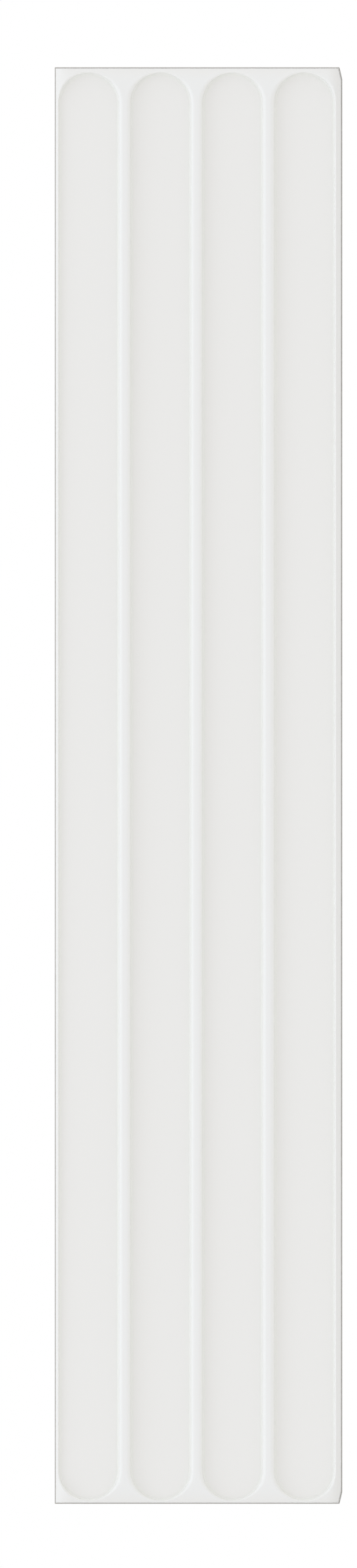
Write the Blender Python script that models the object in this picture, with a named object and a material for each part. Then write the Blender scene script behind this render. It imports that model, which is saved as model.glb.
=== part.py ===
# Fluted ceramic skirting tile.
#
# One pressed and fired piece. It stands upright here: its length runs along Z, its glazed
# face looks along -Y, its bedding face lies in the plane y = 0, and the long edge with the
# two cut corners is on the +X side. The origin is the middle of the bedding face.
# All sizes are in metres.

import math

import bmesh
import bpy
from mathutils import Vector

# The tile
tile_length = 0.600            # along Z
tile_width = 0.120             # along X
body_thickness = 0.008         # bedding face to flute floor

# The flutes sunk in the face
flute_count = 4
flute_depth = 0.003            # rib crest to flute floor
rib_width = 0.0056             # between the creases of two neighbouring flutes
square_edge_land = 0.0020      # -X long edge to the nearest crease
cut_edge_land = 0.0036         # +X long edge to the nearest crease
upper_land = 0.0026            # upper end to the crown of the flutes
lower_land = 0.0017            # lower end to the foot of the flutes

# The sides of a flute, from the rib crest down to the floor
crest_radius = 0.0018
flank_angle = math.radians(75)
crease_radius = 0.0005

# The face rolls down to all four edges: an arc leaves it level and runs into a straight bevel
side_roll_width = 0.0064
side_roll_radius = 0.0090
side_bevel_angle = math.radians(28)
end_roll_width = 0.0090
end_roll_radius = 0.0200
end_bevel_angle = math.radians(26)
arris_radius = 0.0004          # breaks the sharp edge at each end

# The two corners cut off the +X long edge
corner_cut_across = 0.0012
corner_cut_along = 0.0050

# The keying grooves pressed in the bedding face
groove_count = 8               # an even count leaves a rib on the centre line
groove_depth = 0.0008
groove_rib = 0.0060
groove_side_margin = 0.0070
groove_end_margin = 0.0120
groove_draft = 0.0004          # how much narrower a groove is at its floor, on each side

# How finely the curves are divided
roll_segments = 7
arris_segments = 2
flute_end_segments = 20
groove_end_segments = 8
crest_segments = 5
crease_segments = 2

# A roll has no facet narrower than this
least_facet = 0.0001

# How far a cutter reaches past the surface that it cuts
overshoot = 0.002
rim_overshoot = 0.0005

# The glaze
glaze_color = (0.83, 0.83, 0.81, 1.0)
glaze_roughness = 0.18


def clear_scene():
    for old in list(bpy.data.objects):
        bpy.data.objects.remove(old, do_unlink=True)


def glaze_material():
    material = bpy.data.materials.new("white_glaze")
    material.use_nodes = True
    shader = material.node_tree.nodes["Principled BSDF"]
    shader.inputs["Base Color"].default_value = glaze_color
    shader.inputs["Roughness"].default_value = glaze_roughness
    shader.inputs["Metallic"].default_value = 0.0
    return material


def new_object(name, bm):
    bmesh.ops.recalc_face_normals(bm, faces=bm.faces)
    mesh = bpy.data.meshes.new(name)
    bm.to_mesh(mesh)
    bm.free()
    made = bpy.data.objects.new(name, mesh)
    bpy.context.scene.collection.objects.link(made)
    return made


def loft(name, rings):
    """One closed body through a list of rings with equal point counts, capped at both ends."""
    bm = bmesh.new()
    made = [[bm.verts.new(point) for point in ring] for ring in rings]
    for lower, upper in zip(made, made[1:]):
        for i in range(len(lower)):
            j = (i + 1) % len(lower)
            bm.faces.new((lower[i], lower[j], upper[j], upper[i]))
    bm.faces.new(reversed(made[0]))
    bm.faces.new(made[-1])
    return new_object(name, bm)


def spread(count, first_land, last_land, rib):
    """Centres and width of equal bays across the tile, between two lands and parted by ribs."""
    width = (tile_width - first_land - last_land - (count - 1) * rib) / count
    first = -tile_width / 2 + first_land + width / 2
    centres = [first + i * (width + rib) for i in range(count)]
    return centres, width


def roll_drop(inset, width, radius, bevel_angle):
    """How far a roll lies below the level face, at a distance in from the edge."""
    into = max(0.0, width - inset)
    arc = radius * math.sin(bevel_angle)
    if into < arc:
        return radius - math.sqrt(radius ** 2 - into ** 2)
    return radius * (1 - math.cos(bevel_angle)) + (into - arc) * math.tan(bevel_angle)


def roll_profile(width, radius, bevel_angle):
    """A roll from the edge in to the level face: distances in from the edge, and drops."""
    arc = min(width, radius * math.sin(bevel_angle))
    insets = [width - arc * (1 - i / roll_segments) for i in range(roll_segments + 1)]
    if insets[0] > least_facet:
        insets.insert(0, 0.0)
    return [(inset, roll_drop(inset, width, radius, bevel_angle)) for inset in insets]


def end_profile():
    """The roll at an end, with the arris that breaks its edge."""
    roll = (end_roll_width, end_roll_radius, end_bevel_angle)
    steps = []
    for i in range(arris_segments + 1):
        turn = math.pi / 2 * i / arris_segments
        inset = arris_radius * (1 - math.cos(turn))
        steps.append((inset, roll_drop(inset, *roll) + arris_radius * (1 - math.sin(turn))))
    return steps + [step for step in roll_profile(*roll) if step[0] > arris_radius + least_facet]


def face_section(lowered):
    """The tile's outline across its length, with its whole face lowered by a distance."""
    crest = body_thickness + flute_depth - lowered
    half = tile_width / 2
    roll = roll_profile(side_roll_width, side_roll_radius, side_bevel_angle)
    face = [(half - inset, drop - crest) for inset, drop in roll]
    face += [(inset - half, drop - crest) for inset, drop in reversed(roll)]
    return [(half, 0)] + face + [(-half, 0)]


def slab():
    """The tile without its flutes: the section lofted along Z, and lowered towards both ends."""
    steps = end_profile()
    places = [(-tile_length / 2 + inset, drop) for inset, drop in steps]
    places += [(tile_length / 2 - inset, drop) for inset, drop in reversed(steps)]
    rings = [[(x, y, z) for x, y in face_section(drop)] for z, drop in places]
    return loft("skirting_tile", rings)


def cut_corner(tile, end):
    """Takes the corner off the +X long edge, at the upper end (1) or the lower end (-1)."""
    inner = Vector((tile_width / 2 - corner_cut_across, 0, end * tile_length / 2))
    outward = Vector((corner_cut_along, 0, end * corner_cut_across)).normalized()
    bm = bmesh.new()
    bm.from_mesh(tile.data)
    cut = bmesh.ops.bisect_plane(bm, geom=bm.verts[:] + bm.edges[:] + bm.faces[:],
                                 plane_co=inner, plane_no=outward, clear_outer=True)
    rim = [item for item in cut["geom_cut"] if isinstance(item, bmesh.types.BMEdge)]
    bmesh.ops.edgeloop_fill(bm, edges=rim)
    bmesh.ops.recalc_face_normals(bm, faces=bm.faces)
    bm.to_mesh(tile.data)
    bm.free()


def stadium(centre, half_width, top, bottom, depth, segments):
    """A ring with straight sides and half-round ends, at a distance in front of the back."""
    ring = []
    for turn_start, z in ((0.0, top - half_width), (math.pi, bottom + half_width)):
        for i in range(segments + 1):
            turn = turn_start + math.pi * i / segments
            ring.append((centre + half_width * math.cos(turn), -depth, z + half_width * math.sin(turn)))
    return ring


def flute_side():
    """Points down the side of a flute: distance in from the rim, and depth below the crest.

    The crest arc leaves the face level, runs into a straight flank, and a small arc eases
    the flank into the floor. A shallow flute is all arc, so its flank leans back further.
    """
    arcs = crest_radius + crease_radius
    angle = min(flank_angle, math.acos(max(-1.0, 1 - flute_depth / arcs)))
    flank = max(0.0, flute_depth - arcs * (1 - math.cos(angle))) / math.sin(angle)
    side = []
    for i in range(1, crest_segments + 1):
        turn = angle * i / crest_segments
        side.append((crest_radius * math.sin(turn), crest_radius * (1 - math.cos(turn))))
    reach = arcs * math.sin(angle) + flank * math.cos(angle)
    for i in range(crease_segments + 1):
        turn = angle * (1 - i / crease_segments)
        side.append((reach - crease_radius * math.sin(turn),
                     flute_depth - crease_radius * (1 - math.cos(turn))))
    crease = reach - crease_radius * math.tan(angle / 2)
    return side, crease


def flute_cutter(name, centre, width):
    side, crease = flute_side()
    top = tile_length / 2 - upper_land
    bottom = -tile_length / 2 + lower_land
    first_in, first_down = side[0]
    rise = rim_overshoot * first_down / first_in
    side = [(-rim_overshoot, -overshoot), (-rim_overshoot, -rise)] + side
    rings = []
    for reach, down in side:
        grow = crease - reach
        depth = body_thickness + flute_depth - down
        rings.append(stadium(centre, width / 2 + grow, top + grow, bottom - grow, depth,
                             flute_end_segments))
    return loft(name, rings)


def groove_cutter(name, centre, width):
    top = tile_length / 2 - groove_end_margin
    rings = []
    for depth in (-overshoot, groove_depth):
        grow = -groove_draft * depth / groove_depth
        rings.append(stadium(centre, width / 2 + grow, top + grow, -top - grow, depth,
                             groove_end_segments))
    return loft(name, rings)


def cut_with(tile, cutter):
    cutter.hide_render = True
    cutter.display_type = 'WIRE'
    cut = tile.modifiers.new(cutter.name, 'BOOLEAN')
    cut.operation = 'DIFFERENCE'
    cut.solver = 'EXACT'
    cut.object = cutter


def settle(tile, cutters):
    """Keeps the cut shape as the tile's own mesh and removes the cutters."""
    shape = tile.evaluated_get(bpy.context.evaluated_depsgraph_get())
    mesh = bpy.data.meshes.new_from_object(shape)
    tile.modifiers.clear()
    tile.data = mesh
    mesh.name = tile.name
    for cutter in cutters:
        bpy.data.objects.remove(cutter, do_unlink=True)
    mesh.shade_smooth()
    mesh.set_sharp_from_angle(angle=math.radians(30))


def skirting_tile():
    tile = slab()
    for end in (1, -1):
        cut_corner(tile, end)
    cutters = []
    centres, width = spread(flute_count, square_edge_land, cut_edge_land, rib_width)
    for i, centre in enumerate(centres):
        cutters.append(flute_cutter(f"flute_{i + 1}", centre, width))
    centres, width = spread(groove_count, groove_side_margin, groove_side_margin, groove_rib)
    for i, centre in enumerate(centres):
        cutters.append(groove_cutter(f"keying_groove_{i + 1}", centre, width))
    for cutter in cutters:
        cut_with(tile, cutter)
    settle(tile, cutters)
    tile.data.materials.clear()
    tile.data.materials.append(glaze_material())
    return tile


clear_scene()
skirting_tile()
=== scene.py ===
# White fluted skirting tile, seen square on against white.
import math

import bmesh
import bpy
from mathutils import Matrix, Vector, noise


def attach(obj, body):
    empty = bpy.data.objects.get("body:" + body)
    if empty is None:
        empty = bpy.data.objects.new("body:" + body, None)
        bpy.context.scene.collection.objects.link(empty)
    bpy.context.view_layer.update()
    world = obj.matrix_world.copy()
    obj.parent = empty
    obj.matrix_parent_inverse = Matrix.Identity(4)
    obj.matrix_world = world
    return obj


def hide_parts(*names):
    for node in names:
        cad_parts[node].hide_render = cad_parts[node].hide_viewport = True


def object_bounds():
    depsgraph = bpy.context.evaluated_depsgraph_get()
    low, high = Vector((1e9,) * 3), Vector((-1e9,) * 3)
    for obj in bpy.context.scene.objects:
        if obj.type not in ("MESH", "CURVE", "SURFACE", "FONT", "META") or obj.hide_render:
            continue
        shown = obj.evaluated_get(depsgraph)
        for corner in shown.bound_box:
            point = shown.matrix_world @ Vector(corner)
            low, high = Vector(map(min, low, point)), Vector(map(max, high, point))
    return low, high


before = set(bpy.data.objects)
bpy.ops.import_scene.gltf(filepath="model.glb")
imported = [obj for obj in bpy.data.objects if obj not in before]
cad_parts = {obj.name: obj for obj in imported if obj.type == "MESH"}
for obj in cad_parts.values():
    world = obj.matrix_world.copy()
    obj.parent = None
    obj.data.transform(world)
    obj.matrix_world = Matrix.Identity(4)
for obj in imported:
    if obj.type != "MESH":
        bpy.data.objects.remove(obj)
cadLow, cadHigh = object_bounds()
print("frame loaded, tile", [round(side * 1000, 1) for side in cadHigh - cadLow], "mm")

# metres; the outer size comes from the frame, and what the solid has too repeats its sizes
tile = {
    "fluteCount": 4,
    "fluteDepth": 0.003,
    "ribWidth": 0.0056,          # crease to crease
    "leftLand": 0.0020,          # outer edge to the nearest crease
    "rightLand": 0.0036,
    "topLand": 0.0026,
    "bottomLand": 0.0017,
    "crestRadius": 0.0018,
    "creaseRadius": 0.0005,
    "flankAngle": math.radians(75),
    "sideRoll": (0.0064, 0.009, math.radians(28)),     # at the long edges: width, arc radius, bevel
    "endRoll": (0.0090, 0.020, math.radians(26)),      # and at the ends
    "arrisRadius": 0.0004,
    "cutAcross": 0.0012,         # the two corners cut off the right edge
    "cutAlong": 0.0050,
    "sideDraft": 0.0004,         # how far the face is set in from the back's outline
    "ridgeEase": 0.0020,         # softens the ridge where a flute meets a rolled edge
    "waveDepth": 0.00003,        # slow unevenness of the glazed face
    "waveLength": 0.045,
    "poolPaintedLightWidth": 0.0008,         # how wide the glaze pools beside a crease, and the painted light that whitens it there
    "thinWidth": 0.0007,         # and how wide it thins on a shoulder

    # how finely the mesh follows all that
    "rows": 72,                  # along the straight part of a flute
    "endSteps": 64,              # round each half-round end
    "floorRings": (0, 0.25, 0.5, 0.75, 0.9, 0.97),     # shares of the way across the level floor
    "arcSteps": 5,               # in the crease, and again on the shoulder
    "flankSteps": 3,
    "shoulderShare": 0.45,       # the share of the shoulder's arc that has rings of its own
    "landSteps": 16,             # from there to the cell's border
    "cornerSteps": (0.0001, 0.0003, 0.0006, 0.0009, 0.0015, 0.0025),   # extra points beside a corner
    "spokeGap": 0.004,           # radians kept free beside a spoke that is aimed at such a point
    "weld": 5e-7,                # joins the cells along their borders
    "leastEdge": 1e-8,           # a shorter one is dissolved
    "sharpAngle": math.radians(35),
}

halfWide = (cadHigh.x - cadLow.x) / 2
halfLong = (cadHigh.z - cadLow.z) / 2
thick = cadHigh.y - cadLow.y
faceWide = halfWide - tile["sideDraft"]
faceLong = halfLong - tile["sideDraft"]


# where the parts of a flute's side end, measured inwards from the rib's crest
def fluteSide():
    lean = tile["flankAngle"]
    arcs = tile["crestRadius"] + tile["creaseRadius"]
    flank = (tile["fluteDepth"] - arcs * (1 - math.cos(lean))) / math.sin(lean)
    arcEnd = tile["crestRadius"] * math.sin(lean)
    flankEnd = arcEnd + flank * math.cos(lean)
    floorStart = flankEnd + tile["creaseRadius"] * math.sin(lean)
    crease = floorStart - tile["creaseRadius"] * math.tan(lean / 2)
    return arcEnd, flankEnd, floorStart, crease


# centre lines of the flutes, and the distance from one to its creases
def fluteLayout():
    lands = tile["leftLand"] + tile["rightLand"] + (tile["fluteCount"] - 1) * tile["ribWidth"]
    width = (2 * halfWide - lands) / tile["fluteCount"]
    first = -halfWide + tile["leftLand"] + width / 2
    centres = [first + i * (width + tile["ribWidth"]) for i in range(tile["fluteCount"])]
    return centres, width / 2


arcEnd, flankEnd, floorStart, crease = fluteSide()
fluteCentres, creaseReach = fluteLayout()
topCentre = halfLong - tile["topLand"] - creaseReach
bottomCentre = -halfLong + tile["bottomLand"] + creaseReach


# convex outline of the face seen from the front, anticlockwise
def faceOutline():
    across, along = faceWide - tile["cutAcross"], faceLong - tile["cutAlong"]
    return [(-faceWide, -faceLong), (across, -faceLong), (faceWide, -along),
            (faceWide, along), (across, faceLong), (-faceWide, faceLong)]


# each edge of an outline as the direction out of it and how far out it lies
def borderPlanes(points):
    planes = []
    for (x0, z0), (x1, z1) in zip(points, points[1:] + points[:1]):
        size = math.hypot(x1 - x0, z1 - z0)
        nx, nz = (z1 - z0) / size, (x0 - x1) / size
        planes.append((nx, nz, nx * x0 + nz * z0))
    return planes


facePlanes = borderPlanes(faceOutline())


# depth of a flute below the crest, at a distance in from where its shoulder starts
def sideDrop(inward):
    if inward <= 0:
        return 0.0
    if inward < arcEnd:
        return tile["crestRadius"] - math.sqrt(tile["crestRadius"] ** 2 - inward ** 2)
    if inward < flankEnd:
        arcDrop = tile["crestRadius"] * (1 - math.cos(tile["flankAngle"]))
        return arcDrop + (inward - arcEnd) * math.tan(tile["flankAngle"])
    if inward < floorStart:
        left = floorStart - inward
        return tile["fluteDepth"] - tile["creaseRadius"] + math.sqrt(tile["creaseRadius"] ** 2 - left ** 2)
    return tile["fluteDepth"]


# an arc that leaves the face level, then a straight bevel down to the edge
def rollDrop(fromEdge, width, radius, lean):
    into = max(0.0, width - fromEdge)
    arc = radius * math.sin(lean)
    if into < arc:
        return radius - math.sqrt(radius ** 2 - into ** 2)
    return radius * (1 - math.cos(lean)) + (into - arc) * math.tan(lean)


# how far the plain slab falls away below the crest near its edges
def edgeDrop(x, z):
    drop = rollDrop(halfWide - abs(x), *tile["sideRoll"]) + rollDrop(halfLong - abs(z), *tile["endRoll"])
    radius = tile["arrisRadius"]
    for nx, nz, offset in facePlanes:
        fromSide = max(0.0, offset - nx * x - nz * z)
        if fromSide < radius:
            drop += radius - math.sqrt(max(0.0, radius ** 2 - (radius - fromSide) ** 2))
    return drop


# the deeper of two drops, eased where they cross
def softMax(a, b):
    ease = min(tile["ridgeEase"], min(a, b))
    if ease <= 0:
        return max(a, b)
    near = max(0.0, ease - abs(a - b)) / ease
    return max(a, b) + near * near * ease / 4


# 1 at a line, and next to nothing two widths away from it
def band(distance, width):
    return math.exp(-(distance / width) ** 2)


# drop below the crest, how much the glaze pools in a crease, where painted light whitens it, or thins on a
# ridge
def facePoint(x, z, centre):
    inLine = min(max(z, bottomCentre), topCentre)
    inward = creaseReach + crease - math.hypot(x - centre, z - inLine)
    side, edge = sideDrop(inward), edgeDrop(x, z)
    drop = softMax(side, edge)
    wave = 0.5 + 0.5 * noise.noise(Vector((x, z, 0.0)) / tile["waveLength"])
    # the band beside each crease is pooled glaze and also painted light that offsets the crease's shade
    poolPaintedLight = band(inward - crease, tile["poolPaintedLightWidth"])
    ridge = (drop - max(side, edge)) * 4 / tile["ridgeEase"]
    thin = max(ridge, band(inward - tile["crestRadius"] / 2, tile["thinWidth"]))
    return drop + tile["waveDepth"] * wave, poolPaintedLight, thin


# distances from a flute's centre line for the mesh rings up to the rib's shoulder
def shoulderRings():
    crest = creaseReach + crease
    arcSteps, flankSteps = tile["arcSteps"], tile["flankSteps"]
    inward = []
    for i in range(arcSteps + 1):
        inward.append(floorStart - tile["creaseRadius"] * math.sin(tile["flankAngle"] * i / arcSteps))
    for i in range(1, flankSteps):
        inward.append(flankEnd + (arcEnd - flankEnd) * i / flankSteps)
    for i in range(arcSteps + 1):
        turn = tile["flankAngle"] * (1 - tile["shoulderShare"] * i / arcSteps)
        inward.append(tile["crestRadius"] * math.sin(turn))
    rings = [share * (crest - floorStart) for share in tile["floorRings"]]
    return rings + [crest - step for step in inward]


# distance along a ray to the border of a convex cell
def rayReach(planes, x, z, dx, dz):
    parallel = 1e-9    # an edge that faces the ray less than this isn't met
    reaches = []
    for nx, nz, offset in planes:
        facing = nx * dx + nz * dz
        if facing > parallel:
            reaches.append((offset - nx * x - nz * z) / facing)
    return min(reaches)


# the corners of a cell, with more points close beside each, where the edges round over
def cornerPoints(corners):
    points = list(corners)
    for (x0, z0), (x1, z1) in zip(corners, corners[1:] + corners[:1]):
        size = math.hypot(x1 - x0, z1 - z0)
        for step in tile["cornerSteps"]:
            if step < size / 2:
                alongX, alongZ = (x1 - x0) * step / size, (z1 - z0) * step / size
                points += [(x0 + alongX, z0 + alongZ), (x1 - alongX, z1 - alongZ)]
    return points


# spokes run from the flute's centre line out to the border of its cell: where each starts, and its turn
def spokes(centre, corners):
    made = []
    rows = tile["rows"]
    points = cornerPoints(corners)
    for i in range(rows + 1):
        made.append((bottomCentre + (topCentre - bottomCentre) * i / rows, 0.0))
    for start, z in ((0.0, topCentre), (math.pi, bottomCentre)):
        aimed = [math.atan2(pz - z, px - centre) % (2 * math.pi) for px, pz in points]
        aimed = [turn for turn in aimed if start < turn < start + math.pi]
        even = [start + math.pi * i / tile["endSteps"] for i in range(1, tile["endSteps"])]
        even = [turn for turn in even if min(abs(turn - other) for other in aimed) > tile["spokeGap"]]
        made += [(z, turn) for turn in sorted(aimed + even)]
        if start == 0.0:
            made += [(row, math.pi) for row, turn in reversed(made[:rows + 1])]
    return made


# the part of the face between two lines, which a flute has to itself
def cellOutline(left, right):
    points = [(x, z) for x, z in faceOutline() if left <= x <= right]
    if left > -faceWide:
        points += [(left, faceLong), (left, -faceLong)]
    if right < faceWide:
        points += [(right, -faceLong), (right, faceLong)]
    middle = (left + right) / 2
    return sorted(points, key=lambda point: math.atan2(point[1], point[0] - middle))


def addFluteCell(bm, index, poolPaintedLightLayer, thinLayer):
    centre = fluteCentres[index]
    halfRib = tile["ribWidth"] / 2
    left = -faceWide if index == 0 else centre - creaseReach - halfRib
    right = faceWide if index == len(fluteCentres) - 1 else centre + creaseReach + halfRib
    corners = cellOutline(left, right)
    planes = borderPlanes(corners)
    inner = shoulderRings()
    steps = tile["landSteps"]
    land = [(1 - math.cos(math.pi * i / steps)) / 2 for i in range(1, steps + 1)]
    columns = []
    for z, turn in spokes(centre, corners):
        dx, dz = math.cos(turn), math.sin(turn)
        reach = rayReach(planes, centre, z, dx, dz)
        rings = inner + [inner[-1] + (reach - inner[-1]) * share for share in land]
        column = []
        for ring in rings:
            px, pz = centre + dx * ring, z + dz * ring
            drop, poolPaintedLight, thin = facePoint(px, pz, centre)
            vert = bm.verts.new((px, drop - thick, pz))
            vert[poolPaintedLightLayer] = poolPaintedLight
            vert[thinLayer] = thin
            column.append(vert)
        columns.append(column)
    for here, there in zip(columns, columns[1:] + columns[:1]):
        for i in range(len(here) - 1):
            bm.faces.new((here[i], here[i + 1], there[i + 1], there[i]))


# bare sides and back of the pressed body
back = {
    "sideSteps": (0.1, 0.25, 0.45, 0.7, 0.9),    # shares of the way from the face to the back
    "arris": 0.0004,
    "grooveCount": 8,
    "grooveRib": 0.0060,
    "grooveDepth": 0.0008,
    "grooveDraft": 0.0004,       # how much narrower a groove is at its floor, on each side
    "sideMargin": 0.0070,
    "endMargin": 0.0120,
    "endSteps": 10,              # mesh steps round each half-round end of a groove
}


# the open border of the face, walked round once
def borderLoop(bm):
    edges = [edge for edge in bm.edges if edge.is_boundary]
    first = edges[0].verts[0]
    loop, last, here = [first], edges[0], edges[0].verts[1]
    while here is not first:
        loop.append(here)
        last = [edge for edge in here.link_edges if edge.is_boundary and edge is not last][0]
        here = last.other_vert(here)
    return loop


def joinRings(bm, ring, other):
    for i in range(len(ring)):
        j = (i + 1) % len(ring)
        bm.faces.new((ring[i], ring[j], other[j], other[i]))


# down the sides, out by the draft, and in again at the back arris
def addSides(bm, downLayer):
    ring = borderLoop(bm)
    start = [vert.co.copy() for vert in ring]
    levels = [(share, 0.0) for share in back["sideSteps"]] + [(1.0, 0.0), (1.0, back["arris"])]
    for share, inset in levels:
        spreadX = (halfWide - inset) / faceWide
        spreadZ = (halfLong - inset) / faceLong
        made = []
        for co in start:
            outer = Vector((co.x * spreadX, inset - back["arris"], co.z * spreadZ))
            vert = bm.verts.new(co.lerp(outer, share))
            vert[downLayer] = share
            made.append(vert)
        joinRings(bm, ring, made)
        ring = made
    return ring


# one round-ended ring of a keying groove
def grooveRing(bm, downLayer, centre, half, end, y):
    ring = []
    for start, z in ((0.0, end - half), (math.pi, half - end)):
        for i in range(back["endSteps"] + 1):
            turn = start + math.pi * i / back["endSteps"]
            vert = bm.verts.new((centre + half * math.cos(turn), y, z + half * math.sin(turn)))
            vert[downLayer] = 1.0
            ring.append(vert)
    return ring


# the flat back, from the outer ring to the rims of its grooves
def addBack(bm, downLayer, ring):
    rims = [ring]
    count, draft = back["grooveCount"], back["grooveDraft"]
    room = 2 * (halfWide - back["sideMargin"]) - (count - 1) * back["grooveRib"]
    half = room / count / 2
    end = halfLong - back["endMargin"]
    for i in range(count):
        centre = back["sideMargin"] - halfWide + half + i * (2 * half + back["grooveRib"])
        rim = grooveRing(bm, downLayer, centre, half, end, 0.0)
        floor = grooveRing(bm, downLayer, centre, half - draft, end - draft, -back["grooveDepth"])
        joinRings(bm, rim, floor)
        bm.faces.new(floor)
        rims.append(rim)
    edges = []
    for rim in rims:
        edges += [bm.edges.get((rim[i - 1], rim[i])) for i in range(len(rim))]
    bmesh.ops.triangle_fill(bm, edges=edges, use_beauty=True)


def addObject(name, bm):
    mesh = bpy.data.meshes.new(name)
    bm.to_mesh(mesh)
    bm.free()
    made = bpy.data.objects.new(name, mesh)
    bpy.context.scene.collection.objects.link(made)
    return made


def makeTile():
    bm = bmesh.new()
    # this layer marks the pooled glaze in the creases, and with it the painted light that whitens them
    # against their shade
    poolPaintedLightLayer = bm.verts.layers.float.new("glazePoolPaintedLight")
    thinLayer = bm.verts.layers.float.new("glazeThin")
    downLayer = bm.verts.layers.float.new("sideDown")        # 0 on the face, 1 on the back
    for index in range(tile["fluteCount"]):
        addFluteCell(bm, index, poolPaintedLightLayer, thinLayer)
    bmesh.ops.remove_doubles(bm, verts=bm.verts, dist=tile["weld"])
    bmesh.ops.dissolve_degenerate(bm, dist=tile["leastEdge"], edges=bm.edges)
    addBack(bm, downLayer, addSides(bm, downLayer))
    bmesh.ops.recalc_face_normals(bm, faces=bm.faces)
    openEdges = sum(not edge.is_manifold for edge in bm.edges)
    triangles = sum(len(face.verts) - 2 for face in bm.faces)
    made = addObject("glazedTile", bm)
    made.data.shade_smooth()
    made.data.set_sharp_from_angle(angle=tile["sharpAngle"])
    print("tile made,", triangles, "triangles,", openEdges, "open edges")
    return made


# colours are linear; a noise is its scale and detail, and then, where it has four numbers, the range used
glaze = {
    "crestColor": (0.848, 0.850, 0.842, 1.0),
    "floorColor": (0.850, 0.842, 0.823, 1.0),
    # painted light: whiter than the floor to offset the shade in the creases, and greenish like that
    # shade, besides the pooled glaze's own tint
    "poolPaintedLightColor": (0.862, 0.864, 0.828, 1.0),
    "thinColor": (0.850, 0.846, 0.833, 1.0),
    "crestDepth": 0.0015,        # how far below the highest glaze the crest colour is gone
    "thinShare": 0.5,            # how much of the thin glaze's colour shows
    "cloudShare": 0.25,          # and of the floor's colour in the slow clouds
    "cloudNoise": (22.0, 3.0, 0.3, 0.7),
    "roughness": (0.20, 0.265),
    "glossNoise": (60.0, 3.0, 0.3, 0.7),
    "peel": 0.05,                # the faint unevenness of the gloss
    "peelNoise": (260.0, 1.0),
    "glazeLine": 0.10,           # the glaze runs this share of the way down the sides
    "glazeLineWander": 0.025,
    "glazeLineNoise": (35.0, 3.0, 0.3, 0.7),
    "glazeLineBlend": 0.02,
    "bumpStrength": 0.25,
    "bumpDistance": 0.0001,
}

# the bare fired body
biscuit = {
    "bodyColor": (0.44, 0.415, 0.375, 1.0),
    "bodyDark": (0.36, 0.335, 0.30, 1.0),        # its darker grains
    "grainNoise": (900.0, 5.0),
    "grainRange": (0.35, 0.75),
    "roughness": 0.9,
    "engobeColor": (0.62, 0.60, 0.56, 1.0),      # the white wash that is rolled on the ribs of the back
    "engobeThin": 0.45,          # how much of it stays where it is worn
    "engobeNoise": (32.0, 5.0, 0.34, 0.56),
    "engobeReach": (-0.5, -0.1), # in groove depths from the back: where it starts, and is whole
}


def addNode(tree, kind, settings=(), inputs=()):
    made = tree.nodes.new(kind)
    for name, value in dict(settings).items():
        setattr(made, name, value)
    for name, value in dict(inputs).items():
        socket = made.inputs[name]
        if isinstance(value, bpy.types.NodeSocket):
            tree.links.new(value, socket)
        else:
            socket.default_value = value
    return made


def makeNoise(tree, place, scale, detail):
    made = addNode(tree, "ShaderNodeTexNoise", inputs={"Vector": place, "Scale": scale, "Detail": detail})
    return made.outputs["Fac"]


def mapValue(tree, value, low, high, toLow=0.0, toHigh=1.0):
    made = addNode(tree, "ShaderNodeMapRange", {"clamp": True, "interpolation_type": "SMOOTHSTEP"},
                   {"Value": value, "From Min": low, "From Max": high, "To Min": toLow, "To Max": toHigh})
    return made.outputs["Result"]


# the used part of a noise, spread between two values
def spreadNoise(tree, place, kind, toLow, toHigh):
    scale, detail, low, high = kind
    return mapValue(tree, makeNoise(tree, place, scale, detail), low, high, toLow, toHigh)


# the mix node takes numbers on sockets 2 and 3, and colours on 6 and 7
def mixValue(tree, factor, first, second):
    made = addNode(tree, "ShaderNodeMix", {"data_type": "FLOAT"}, {0: factor, 2: first, 3: second})
    return made.outputs[0]


def mixColor(tree, factor, first, second):
    made = addNode(tree, "ShaderNodeMix", {"data_type": "RGBA"}, {0: factor, 6: first, 7: second})
    return made.outputs[2]


def doMath(tree, operation, first, second):
    return addNode(tree, "ShaderNodeMath", {"operation": operation}, {0: first, 1: second}).outputs[0]


def readLayer(tree, name):
    return addNode(tree, "ShaderNodeAttribute", {"attribute_name": name}).outputs["Fac"]


# cooler on the crests, a little warmer on the floors, and whiter and greener in the creases: partly pooled
# glaze, partly painted light against their shade
def glazeColor(tree, place, height):
    sunk = mapValue(tree, height, -thick, glaze["crestDepth"] - thick)
    color = mixColor(tree, sunk, glaze["crestColor"], glaze["floorColor"])
    # painted light: the creases are whitened against their shade here, together with the pooled glaze
    color = mixColor(tree, readLayer(tree, "glazePoolPaintedLight"), color, glaze["poolPaintedLightColor"])
    thin = doMath(tree, "MULTIPLY", readLayer(tree, "glazeThin"), glaze["thinShare"])
    color = mixColor(tree, thin, color, glaze["thinColor"])
    cloud = spreadNoise(tree, place, glaze["cloudNoise"], 0.0, glaze["cloudShare"])
    return mixColor(tree, cloud, color, glaze["floorColor"])


# the bare body, with a patchy white wash on the ribs between the grooves
def biscuitColor(tree, place, height, grain):
    speckle = mapValue(tree, grain, *biscuit["grainRange"])
    body = mixColor(tree, speckle, biscuit["bodyColor"], biscuit["bodyDark"])
    raised = mapValue(tree, height, *[share * back["grooveDepth"] for share in biscuit["engobeReach"]])
    patchy = spreadNoise(tree, place, biscuit["engobeNoise"], biscuit["engobeThin"], 1.0)
    return mixColor(tree, doMath(tree, "MULTIPLY", raised, patchy), body, biscuit["engobeColor"])


# 0 on the glaze and 1 on the bare body, past a wandering line on the sides
def bareBody(tree, place):
    wander = glaze["glazeLineWander"]
    line = spreadNoise(tree, place, glaze["glazeLineNoise"], -wander, wander)
    down = doMath(tree, "ADD", readLayer(tree, "sideDown"), line)
    return mapValue(tree, doMath(tree, "SUBTRACT", down, glaze["glazeLine"]), 0.0, glaze["glazeLineBlend"])


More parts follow.
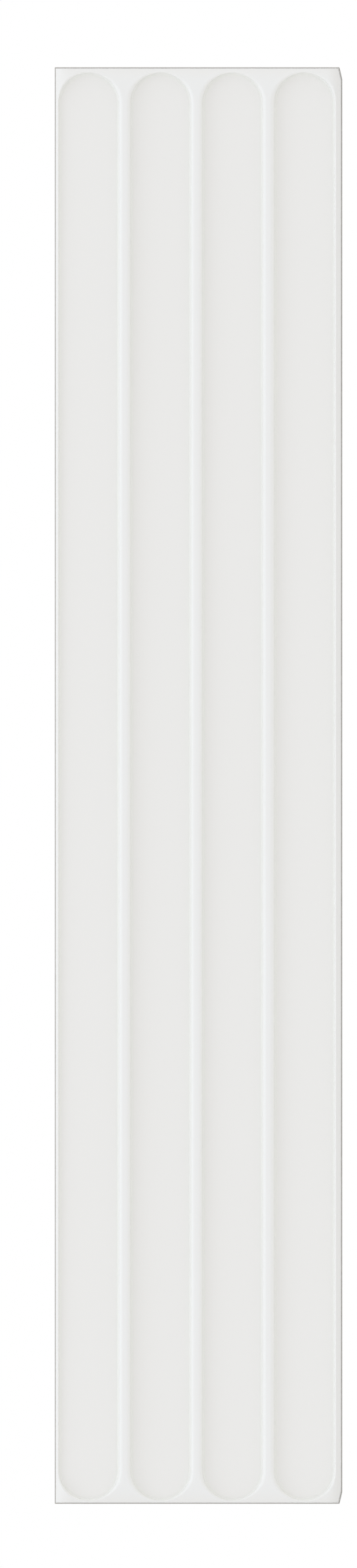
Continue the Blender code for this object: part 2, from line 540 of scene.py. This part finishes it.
def glazeMaterial():
    material = bpy.data.materials.new("whiteGlaze")
    material.use_nodes = True
    tree = material.node_tree
    shader = tree.nodes["Principled BSDF"]
    place = addNode(tree, "ShaderNodeTexCoord").outputs["Object"]
    height = addNode(tree, "ShaderNodeSeparateXYZ", inputs={"Vector": place}).outputs["Y"]
    bare = bareBody(tree, place)
    grain = makeNoise(tree, place, *biscuit["grainNoise"])
    color = mixColor(tree, bare, glazeColor(tree, place, height), biscuitColor(tree, place, height, grain))
    tree.links.new(color, shader.inputs["Base Color"])

    gloss = spreadNoise(tree, place, glaze["glossNoise"], *glaze["roughness"])
    tree.links.new(mixValue(tree, bare, gloss, biscuit["roughness"]), shader.inputs["Roughness"])

    peel = doMath(tree, "MULTIPLY", makeNoise(tree, place, *glaze["peelNoise"]), glaze["peel"])
    relief = {"Height": mixValue(tree, bare, peel, grain),
              "Strength": glaze["bumpStrength"], "Distance": glaze["bumpDistance"]}
    bump = addNode(tree, "ShaderNodeBump", inputs=relief)
    tree.links.new(bump.outputs["Normal"], shader.inputs["Normal"])
    return material


tilePiece = makeTile()
tilePiece.data.materials.append(glazeMaterial())
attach(tilePiece, "root")
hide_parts("skirting_tile")
print("glaze and biscuit on")


# the photograph's frame, in its own pixels
photo = {
    "wide": 455,
    "high": 2000,
    "tileLeft": 70.0,
    "tileRight": 436.0,
    "tileTop": 86.0,
    "tileBottom": 1918.0,
    "distance": 2.0,             # metres in front of the wall
}


def makeCamera():
    perPixel = 2 * halfLong / (photo["tileBottom"] - photo["tileTop"])
    aside = photo["wide"] / 2 - (photo["tileLeft"] + photo["tileRight"]) / 2
    above = (photo["tileTop"] + photo["tileBottom"]) / 2 - photo["high"] / 2
    lens = bpy.data.cameras.new("squareOn")
    lens.type = "ORTHO"
    lens.ortho_scale = photo["high"] * perPixel
    made = bpy.data.objects.new("squareOn", lens)
    made.location = (aside * perPixel, -photo["distance"], above * perPixel)
    made.rotation_euler = (math.radians(90), 0, 0)
    bpy.context.scene.collection.objects.link(made)
    bpy.context.scene.camera = made


# a white tent of light: brighter on the left and the top, with dark screens just behind the tile
tent = {
    "front": 0.92,
    "leftGlow": 0.63,                     # what the bright left side adds, a little cooler
    "leftColor": (0.95, 1.0, 1.07, 1.0),
    "leftFade": (math.radians(24), math.radians(42)),    # where it fades, from the plane of the face
    "aboveGlow": 0.20,
    "aboveFade": (math.radians(14), math.radians(30)),
    "rightGlow": 0.4,
    "rightFade": (math.radians(160), math.radians(180)),
    "leftScreen": 0.5,
    "rightScreen": 0.0,
    "screenBlend": 0.2,                   # how softly one screen passes into the other
    "behind": 1.1,
    "screenDepth": (0.55, 0.90),          # how far back the screens reach
    "blend": 0.05,                        # how softly the front light meets the screens
    "white": (1.0, 1.0, 1.0, 1.0),
    "floorColor": (0.9, 0.9, 0.9, 1.0),
    "floorRoughness": 0.9,
    "floorGap": 0.0002,
    "floorReach": 20.0,
}


def makeTent():
    world = bpy.data.worlds.new("tent")
    bpy.context.scene.world = world
    world.use_nodes = True
    tree = world.node_tree
    tree.nodes.clear()
    axis = addNode(tree, "ShaderNodeTexCoord").outputs["Generated"]
    parts = addNode(tree, "ShaderNodeSeparateXYZ", inputs={"Vector": axis})
    across, away, up = parts.outputs
    left = doMath(tree, "MULTIPLY", across, -1.0)
    toward = doMath(tree, "MULTIPLY", away, -1.0)
    offLeft = doMath(tree, "ARCTAN2", toward, left)
    offTop = doMath(tree, "ARCTAN2", toward, up)
    fromLeft = mapValue(tree, offLeft, *tent["leftFade"], 1.0, 0.0)
    front = doMath(tree, "ADD", tent["front"], doMath(tree, "MULTIPLY", fromLeft, tent["leftGlow"]))
    front = doMath(tree, "ADD", front, mapValue(tree, offTop, *tent["aboveFade"], tent["aboveGlow"], 0.0))
    front = doMath(tree, "ADD", front, mapValue(tree, offLeft, *tent["rightFade"], 0.0, tent["rightGlow"]))
    screen = mapValue(tree, across, -tent["screenBlend"], tent["screenBlend"],
                      tent["leftScreen"], tent["rightScreen"])
    behind = mapValue(tree, away, *tent["screenDepth"], screen, tent["behind"])
    isFront = mapValue(tree, toward, -tent["blend"], tent["blend"])
    level = mixValue(tree, isFront, behind, front)
    fromLeft = doMath(tree, "MULTIPLY", fromLeft, isFront)
    color = mixColor(tree, fromLeft, tent["white"], tent["leftColor"])
    lit = addNode(tree, "ShaderNodeBackground", inputs={"Color": color, "Strength": level})
    seen = addNode(tree, "ShaderNodeBackground", inputs={"Color": tent["white"], "Strength": 1.0})
    rays = addNode(tree, "ShaderNodeLightPath").outputs["Is Camera Ray"]
    both = addNode(tree, "ShaderNodeMixShader", inputs={0: rays, 1: lit.outputs[0], 2: seen.outputs[0]})
    addNode(tree, "ShaderNodeOutputWorld", inputs={"Surface": both.outputs[0]})


def makeFloor():
    bm = bmesh.new()
    reach, z = tent["floorReach"], cadLow.z - tent["floorGap"]
    corners = [(-reach, -reach, z), (reach, -reach, z), (reach, reach, z), (-reach, reach, z)]
    bm.faces.new([bm.verts.new(corner) for corner in corners])
    made = addObject("paleFloor", bm)
    material = bpy.data.materials.new("paleFloor")
    material.use_nodes = True
    shader = material.node_tree.nodes["Principled BSDF"]
    shader.inputs["Base Color"].default_value = tent["floorColor"]
    shader.inputs["Roughness"].default_value = tent["floorRoughness"]
    made.data.materials.append(material)
    made.visible_diffuse = False     # the tent lights the tile from below as well
    made.visible_glossy = False
    made.visible_shadow = False


makeCamera()
makeTent()
makeFloor()
bpy.context.scene.view_settings.view_transform = "Standard"
print("camera, light and floor set")
